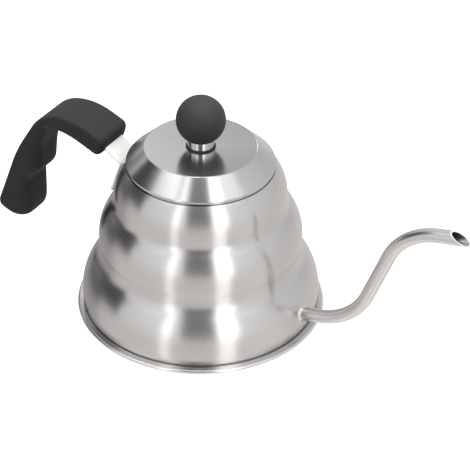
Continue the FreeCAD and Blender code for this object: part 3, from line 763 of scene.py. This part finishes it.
def gripStations():
    outer, inner = Chain(grip["outer"]), Chain(grip["inner"])
    stations = []
    pairs = grip["pairs"]
    for (a, b, _, edgeA, innerA), (c, d, count, edgeB, innerB) in zip(pairs, pairs[1:]):
        first = 0 if not stations else 1
        last = (c, d) == tuple(pairs[-1][:2])
        outerRun = (outer.nearest(a), outer.marks[-1] if last else outer.nearest(c))
        innerRun = (inner.nearest(b), inner.marks[-1] if last else inner.nearest(d))
        for i in range(first, count + 1):
            share = i / count
            stations.append((
                outer.at(outerRun[0] + (outerRun[1] - outerRun[0]) * share),
                inner.at(innerRun[0] + (innerRun[1] - innerRun[0]) * share),
                edgeA + (edgeB - edgeA) * share, innerA + (innerB - innerA) * share))
    return stations


def quarterArc(centre, radii, start):
    spots = []
    for step in range(grip["steps"] + 1):
        turn = math.radians(start + 90 * step / grip["steps"])
        spots.append((centre[0] + radii[0] * math.cos(turn), centre[1] + radii[1] * math.sin(turn)))
    return spots


def gripSection(outer, inner, edge, innerEdge, width):  # closed, outer edges crisp, inner edges full
    run = inner - outer
    depth = max(run.length, 1e-6)  # the two ends close to a line
    run = run / depth
    widest = width * grip["widthShare"]
    a = (min(edge, depth * grip["outerShare"]), min(edge, widest))
    b = (min(innerEdge, depth * grip["innerShare"]), min(innerEdge, widest))
    half = width / 2
    spots = quarterArc((a[0], a[1] - half), a, 180) + quarterArc((depth - b[0], b[1] - half), b, 270)
    spots.append((depth, 0.0))
    spots += quarterArc((depth - b[0], half - b[1]), b, 0) + quarterArc((a[0], half - a[1]), a, 90)
    spots.append((0.0, 0.0))
    return [Vector((outer.x + run.x * u, v, outer.y + run.y * u)) * mm for u, v in spots]


def endFace(outerCorner, innerCorner):  # a point of an end of the grip, and the direction square to it
    corner = Vector(outerCorner[:2])
    run = Vector(innerCorner[:2]) - corner
    return corner, Vector((-run.y, run.x)).normalized()


def tucked(distance, rounding):  # how far a rounded end draws the width in
    depth = min(distance, rounding)
    return rounding - math.sqrt(rounding ** 2 - (rounding - depth) ** 2)


def gripMesh():
    ends = (
        (*endFace(grip["outer"][1], grip["inner"][1]), grip["endRound"]),
        (*endFace(grip["outer"][-2], grip["inner"][-2]), grip["heelRound"]))
    work = bmesh.new()
    rings = []
    for outer, inner, edge, innerEdge in gripStations():
        middle = (outer + inner) / 2
        width = grip["width"]
        for corner, square, rounding in ends:
            width -= 2 * tucked(abs((middle - corner).dot(square)), rounding)
        section = gripSection(outer, inner, edge, innerEdge, width)
        rings.append([work.verts.new(spot) for spot in section])
    for low, high in zip(rings, rings[1:]):
        for i in range(len(low)):
            j = (i + 1) % len(low)
            work.faces.new((low[i], low[j], high[j], high[i]))
    bmesh.ops.remove_doubles(work, verts=work.verts, dist=grip["mergeGap"])
    bmesh.ops.dissolve_degenerate(work, edges=work.edges, dist=grip["mergeGap"])
    return meshOf("handleGrip", work)


screws = {
    "shares": (0.25, 0.75), "seat": 1.6, "washer": 0.8, "head": 3.6, "headHeight": 2.2, "shank": 2.0,
    "length": 7.0, "slot": 0.9, "slotDepth": 1.0, "washerBore": 2.2, "split": 0.14,
}
tangStart = Vector((strap["route"][2][0], 0, strap["route"][2][1]))
tangRun = Vector((strap["route"][3][0], 0, strap["route"][3][1])) - tangStart
tangUp = Vector((tangRun.z, 0, -tangRun.x)).normalized()
tangLean = math.atan2(tangUp.x, tangUp.z)
seatDrop = strap["gauge"] + screws["seat"]

gripForm = gripMesh()
for share in screws["shares"]:
    gripBlank = newPiece("handleGrip", gripForm, gripPlastic, crease["sheet"])
    mouth = tangStart + tangRun * share - tangUp * (seatDrop + grip["pocketDepth"])
    gripForm = drilled(gripBlank, mouth, tangUp, grip["pocket"], grip["pocketDepth"])
handleGrip = newPiece("handleGrip", gripForm, gripPlastic, crease["moulded"])
handOver(handleGrip, "kettle", "handle_grip")
print("grip moulded")


# slotted screws and split washers, repeated along a row by nodes

screwForm = {"headSides": 48, "footShare": 0.86, "shankSides": 32, "slotReach": 2.4, "washerSteps": 64}
rowInputs = (
    ("Count", "Int"), ("Start", "Vector"), ("Step", "Vector"), ("Lean", "Rotation"), ("Steel", "Material"))


def closeRow(tree, give, item):  # one item, set along a row
    row = addNode(tree, "GeometryNodeMeshLine", {"mode": "OFFSET"}, {
        "Count": give["Count"], "Start Location": give["Start"], "Offset": give["Step"]})
    copies = addNode(tree, "GeometryNodeInstanceOnPoints", {}, {
        "Points": row, "Instance": item, "Rotation": give["Lean"]})
    closeTree(tree, copies, give["Steel"])


def reckoned(tree, operation, first, second):
    return addNode(tree, "ShaderNodeMath", {"operation": operation}, {0: first, 1: second})


screwTree, screwSockets, screwGive = nodeTree("screwRow", rowInputs + (
    ("Head", "Float"), ("Height", "Float"), ("Shank", "Float"), ("Length", "Float"), ("Slot", "Vector")))
screwHead = addNode(screwTree, "GeometryNodeMeshCone", {}, {
    "Vertices": screwForm["headSides"], "Radius Top": screwGive["Head"], "Depth": screwGive["Height"],
    "Radius Bottom": reckoned(screwTree, "MULTIPLY", screwGive["Head"], screwForm["footShare"])})
screwSlot = addNode(screwTree, "GeometryNodeMeshCube", {}, {"Size": screwGive["Slot"]})
slotted = addNode(screwTree, "GeometryNodeMeshBoolean", {"operation": "DIFFERENCE"}, {
    "Mesh 1": screwHead, "Mesh 2": screwSlot})
screwShank = addNode(screwTree, "GeometryNodeMeshCylinder", {}, {
    "Vertices": screwForm["shankSides"], "Radius": screwGive["Shank"], "Depth": screwGive["Length"]})
halfLength = reckoned(screwTree, "MULTIPLY", screwGive["Length"], 0.5)
shankMove = addNode(screwTree, "ShaderNodeCombineXYZ", {}, {
    2: reckoned(screwTree, "ADD", screwGive["Height"], halfLength)})
shankPlaced = addNode(screwTree, "GeometryNodeTransform", {}, {
    "Geometry": screwShank, "Translation": shankMove})
wholeScrew = screwTree.nodes.new("GeometryNodeJoinGeometry")
for shape in (slotted, shankPlaced):
    screwTree.links.new(shape, wholeScrew.inputs[0])
closeRow(screwTree, screwGive, wholeScrew.outputs[0])

washerTree, washerSockets, washerGive = nodeTree("washerRow", rowInputs + (
    ("Middle", "Float"), ("Breadth", "Float"), ("Gauge", "Float"), ("Sweep", "Float")))
washerArc = addNode(washerTree, "GeometryNodeCurveArc", {}, {
    "Resolution": screwForm["washerSteps"], "Radius": washerGive["Middle"],
    "Sweep Angle": washerGive["Sweep"]})
washerSection = addNode(washerTree, "GeometryNodeCurvePrimitiveQuadrilateral", {}, {
    "Width": washerGive["Breadth"], "Height": washerGive["Gauge"]})
washerBar = addNode(washerTree, "GeometryNodeCurveToMesh", {}, {
    "Curve": washerArc, "Profile Curve": washerSection, "Fill Caps": True})
closeRow(washerTree, washerGive, washerBar)
print("screw and washer trees built")


def screwMesh(name, count, start, step, lean, size):
    cutter = (size["head"] * screwForm["slotReach"], size["slot"], size["slotDepth"] * 2)  # half outside
    return runTree(name, bpy.data.meshes.new(name), screwTree, screwSockets, {
        "Count": count, "Start": Vector(start) * mm, "Step": Vector(step) * mm, "Lean": (0.0, lean, 0.0),
        "Steel": fastener, "Head": size["head"] * mm, "Height": size["headHeight"] * mm,
        "Shank": size["shank"] * mm, "Length": size["length"] * mm, "Slot": Vector(cutter) * mm})


firstSpot = tangStart + tangRun * screws["shares"][0]
spotStep = tangRun * (screws["shares"][1] - screws["shares"][0])
headDrop = seatDrop + screws["washer"] + screws["headHeight"]
screwRow = screwMesh("gripScrews", 2, firstSpot - tangUp * headDrop, spotStep, tangLean, screws)
gripScrews = newPiece("gripScrews", screwRow, fastener, crease["fastener"])
handOver(gripScrews, "kettle", "grip_screws")
washerRow = runTree("gripWashers", bpy.data.meshes.new("gripWashers"), washerTree, washerSockets, {
    "Count": 2, "Start": (firstSpot - tangUp * (seatDrop + screws["washer"] / 2)) * mm,
    "Step": spotStep * mm, "Lean": (0.0, tangLean, 0.0), "Steel": fastener,
    "Middle": (screws["head"] + screws["washerBore"]) / 2 * mm,
    "Breadth": (screws["head"] - screws["washerBore"]) * mm, "Gauge": screws["washer"] * mm,
    "Sweep": 2 * math.pi - screws["split"]})
gripWashers = newPiece("gripWashers", washerRow, fastener, crease["fastener"])
handOver(gripWashers, "kettle", "grip_washers")
print("grip screwed on")


# lid: skirt and disc from one sheet, locating ring below

lid = {
    "gauge": 0.7, "rim": 44.0, "rimFoot": 99.9, "rimHeight": 0.9, "rimBend": 0.8, "disc": 33.1, "top": 111.0,
    "discBend": 1.4, "hole": 2.6, "ring": 39.1, "ringTop": 99.6, "ringDepth": 9.5, "ringBend": 0.9,
    "sides": 224, "shellStep": 6, "ringStep": 10,
}
lidPath = roundCorners([
    (lid["rim"], lid["rimFoot"], 0), (lid["rim"], lid["rimFoot"] + lid["rimHeight"], lid["rimBend"]),
    (lid["disc"], lid["top"], lid["discBend"]), (lid["hole"], lid["top"], 0)], lid["shellStep"])
lidShell = lathe("lidShell", sheetOutline(lidPath, lid["gauge"]), lid["sides"], lidSteel)
handOver(lidShell, "lid", "lid_shell")
ringPath = roundCorners([
    (lid["ring"], lid["ringTop"] - lid["ringDepth"], 0), (lid["ring"], lid["ringTop"], lid["ringBend"]),
    (lid["rim"] - lid["gauge"], lid["ringTop"], 0)], lid["ringStep"])
lidRing = lathe("lidInnerRing", sheetOutline(ringPath, lid["gauge"]), lid["sides"], satin)
handOver(lidRing, "lid", "lid_inner_ring")
print("lid turned")


# knob: seal, polished collar and ball, held by a screw from inside the lid

knob = {
    "seal": 8.8, "sealGauge": 0.8, "collar": 8.0, "collarHeight": 5.0, "collarEdge": 0.35, "ball": 14.55,
    "ballHeight": 128.8, "insert": 4.0, "insertLength": 10.0, "seatEdge": 0.3, "washer": 7.0,
    "washerGauge": 1.0, "crispEdge": 0.15, "softEdge": 0.3, "sides": 128, "washerSides": 96,
    "cornerStep": 15, "ballStep": 2.5, "seatTurn": 1.5,  # degrees
    "screw": {"head": 4.6, "headHeight": 3.0, "shank": 2.5, "length": 16.5, "slot": 0.9, "slotDepth": 1.0},
}
sealTop = lid["top"] + knob["sealGauge"]
ballFoot = sealTop + knob["collarHeight"]
boreTop = ballFoot + knob["insertLength"]
washerTop = lid["top"] - lid["gauge"]
washerFoot = washerTop - knob["washerGauge"]
screwFoot = washerFoot - knob["screw"]["headHeight"]


def ringOutline(reach, foot, top, footEdge, topEdge):  # plain bore, rounded outer edges
    return roundCorners([
        (lid["hole"], foot, 0), (reach, foot, footEdge), (reach, top, topEdge), (lid["hole"], top, 0)],
        knob["cornerStep"], True)


sealOutline = ringOutline(knob["seal"], lid["top"], sealTop, knob["crispEdge"], knob["softEdge"])
knobSeal = lathe("knobSeal", sealOutline, knob["washerSides"], rubber)
handOver(knobSeal, "lid", "knob_seal")
collarOutline = ringOutline(knob["collar"], sealTop, ballFoot, knob["collarEdge"], knob["collarEdge"])
knobCollar = lathe("knobCollar", collarOutline, knob["sides"], polished)
handOver(knobCollar, "lid", "knob_collar")
ballCentre = (0, knob["ballHeight"])
seatReach = math.sqrt(knob["ball"] ** 2 - (knob["ballHeight"] - ballFoot) ** 2)
seatAngle = bearing(ballCentre, (seatReach, ballFoot)) + knob["seatTurn"]
ballOutline = [(0, boreTop), (knob["insert"], boreTop), (knob["insert"], ballFoot)]
ballOutline.append((seatReach - knob["seatEdge"], ballFoot))
ballOutline += arcPoints(ballCentre, knob["ball"], seatAngle, 90, knob["ballStep"])[:-1]
ballOutline.append((0, knob["ballHeight"] + knob["ball"]))
knobBall = lathe("knobBall", ballOutline, knob["sides"], ballPlastic)
handOver(knobBall, "lid", "knob_ball")
washerOutline = ringOutline(knob["washer"], washerFoot, washerTop, knob["softEdge"], knob["crispEdge"])
knobWasher = lathe("knobWasher", washerOutline, knob["washerSides"], fastener)
handOver(knobWasher, "lid", "knob_washer")
knobScrewMesh = screwMesh("knobScrew", 1, (0, 0, screwFoot), (0, 0, 0), 0.0, knob["screw"])
knobScrew = newPiece("knobScrew", knobScrewMesh, fastener, crease["fastener"])
handOver(knobScrew, "lid", "knob_screw")
for item in bpy.data.objects:  # the insert keeps its solid's own mesh, in brass
    if item.name == "knob_insert":
        item.data.materials.clear()
        item.data.materials.append(brass)
print("knob fitted")


# floor, surroundings, camera

stageLook = {
    "floorSize": 24.0, "floorDrop": 0.0004, "floorTone": 0.12, "floorGlow": 0.92,
    "mottle": 3.0, "mottleRise": 1.05,
    "cameraBearing": -58.0,  # degrees from +X to the camera, seen from above
    "room": 1.10, "back": 0.60, "widenLow": 0.35, "widenHigh": 0.06, "widenSpan": 60.0,
    "above": (0.980, 0.994, 1.0), "below": (1.0, 0.972, 0.958), "duskSpan": 6.0,
    "panels": (  # bearing from, to, height from, to, brightness, softness across and upright, in degrees
        (-220.0, 220.0, -120.0, -3.0, 0.80, 5.0, 5.0),  # table top
        (-220.0, 220.0, -120.0, -50.0, 0.98, 5.0, 8.0),  # table top close by
        (40.0, 78.0, -60.0, -3.0, 0.92, 14.0, 6.0),  # paler to the right
        (-175.0, -104.0, -52.0, 4.0, 0.46, 14.0, 14.0),  # darker to the left and behind
        (-36.0, -27.5, -85.0, 0.0, 1.45, 1.4, 6.0),  # the two lamps as the table top mirrors them
        (15.5, 30.0, -85.0, 0.0, 1.60, 1.6, 6.0),
        (-36.0, -27.0, -2.0, 74.0, 2.2, 1.4, 5.0),  # upright lamp on the left
        (15.5, 34.5, -2.0, 74.0, 2.5, 1.2, 5.0),  # upright lamp on the right
        (32.0, 43.0, 48.0, 74.0, 2.5, 1.5, 4.0),
        (-18.5, 14.0, 0.0, 84.0, 0.22, 3.0, 6.0),  # dark between the lamps
        (-23.0, 0.0, 38.0, 84.0, 0.22, 3.0, 7.0),
        (0.0, 18.0, 48.0, 84.0, 0.22, 2.0, 4.0),
        (-122.0, -82.0, -2.0, 40.0, 0.045, 3.0, 5.0),  # dark on the left
        (-140.0, -106.0, -14.0, 13.0, 0.13, 6.0, 7.0),
        (-100.0, -45.0, 46.0, 66.0, 1.9, 3.0, 4.0),  # high lamp on the left
        (42.0, 76.0, 42.0, 66.0, 1.5, 4.0, 6.0),  # high lamp on the right
        (-200.0, -150.0, 22.0, 62.0, 1.04, 6.0, 6.0),  # behind, what the lid's disc mirrors
        (158.0, 200.0, 22.0, 62.0, 0.50, 8.0, 8.0),
        (147.0, 162.0, 12.0, 30.0, 2.0, 3.0, 4.0),  # behind on the right, what the disc's edge mirrors
        (-220.0, 220.0, 80.0, 120.0, 2.9, 5.0, 4.0),  # overhead
    ),
}


def studioRoom():
    room = Finish(bpy.data.worlds.new("studioRoom"))
    way = room.add("ShaderNodeTexCoord", output="Generated")
    facing = math.radians(stageLook["cameraBearing"])
    shares = []
    for axis in ((math.cos(facing), math.sin(facing), 0), (-math.sin(facing), math.cos(facing), 0)):
        shares.append(room.add(
            "ShaderNodeVectorMath", {"operation": "DOT_PRODUCT"}, {0: way, 1: axis}, "Value"))
    front, right = shares
    up = room.add("ShaderNodeSeparateXYZ", {}, {0: way}, "Z")
    turn = room.add("ShaderNodeMath", {"operation": "ARCTAN2"}, {0: right, 1: front}) * math.degrees(1)
    height = room.add("ShaderNodeMath", {"operation": "ARCSINE"}, {0: up}) * math.degrees(1)
    light = stageLook["back"] + (front * 0.5 + 0.5) * (stageLook["room"] - stageLook["back"])
    below = room.add("ShaderNodeMath", {"operation": "MINIMUM"}, {0: height, 1: 0.0}) / stageLook["widenSpan"]
    above = room.add("ShaderNodeMath", {"operation": "MAXIMUM"}, {0: height, 1: 0.0}) / stageLook["widenSpan"]
    widen = below * below * stageLook["widenLow"] + above * above * stageLook["widenHigh"]
    across = turn / (1 + widen)  # panels lean apart above and below
    for left, stop, low, high, bright, soft, softUp in stageLook["panels"]:
        mask = band(room, across, left, stop, soft) * band(room, height, low, high, softUp)
        light = light * (1 - mask) + mask * bright
    sunk = room.add("ShaderNodeMapRange", {}, {
        "Value": height, "From Min": stageLook["duskSpan"], "From Max": -stageLook["duskSpan"]})
    tint = room.blend(sunk, stageLook["above"], stageLook["below"])
    glow = room.add("ShaderNodeBackground", {}, {"Color": tint, "Strength": light})
    return room.close(glow, "ShaderNodeOutputWorld")


def floorFinish():
    finish = newFinish("paleFloor")
    mottle = finish.noise(finish.place(), stageLook["mottle"], noiseDetail["mottle"])
    tone = stageLook["floorTone"]
    shader = finish.add("ShaderNodeBsdfPrincipled", {}, {
        "Base Color": finish.blend(mottle, (tone,) * 3, (tone * stageLook["mottleRise"],) * 3),
        "Roughness": 1.0, "Specular IOR Level": 0.0,
        "Emission Color": (1, 1, 1, 1), "Emission Strength": stageLook["floorGlow"]})
    return finish.close(shader)


bpy.context.scene.world = studioRoom()
half = stageLook["floorSize"] / 2
floorCorners = []
for east, north in ((-half, -half), (half, -half), (half, half), (-half, half)):
    floorCorners.append((east, north, -stageLook["floorDrop"]))
floorMesh = bpy.data.meshes.new("floor")
floorMesh.from_pydata(floorCorners, [], [(0, 1, 2, 3)])
floorMesh.materials.append(floorFinish())
floor = asObject("floor", floorMesh)
floor.visible_glossy = False  # the room's own lower half is what the steel mirrors
bpy.context.scene.view_settings.view_transform = "Standard"

softbox = {"height": 1.4, "side": 1.5, "power": 105.0}
overhead = bpy.data.lights.new("overhead", "AREA")
overhead.size = softbox["side"]
overhead.energy = softbox["power"]
overheadObject = asObject("overhead", overhead)
overheadObject.location = (0, 0, softbox["height"])
overheadObject.visible_glossy = False  # it lights, the painted room is what the steel mirrors

lens = {
    "place": (0.5137, -0.8220, 0.7286), "aim": (0, 0, 0.0476), "sideways": 0.99, "length": 151.3,
    "sensor": 36.0, "nearest": 0.05,
}
eye = bpy.data.cameras.new("mainCamera")
eye.lens = lens["length"]
eye.sensor_width = lens["sensor"]
eye.clip_start = lens["nearest"]
eyeObject = asObject("mainCamera", eye)
gaze = (Vector(lens["aim"]) - Vector(lens["place"])).to_track_quat("-Z", "Y")
turnAside = Matrix.Rotation(math.radians(-lens["sideways"]), 4, "Y")
eyeObject.matrix_world = Matrix.Translation(lens["place"]) @ gaze.to_matrix().to_4x4() @ turnAside
bpy.context.scene.camera = eyeObject
print("stage set")

bpy.context.view_layer.update()
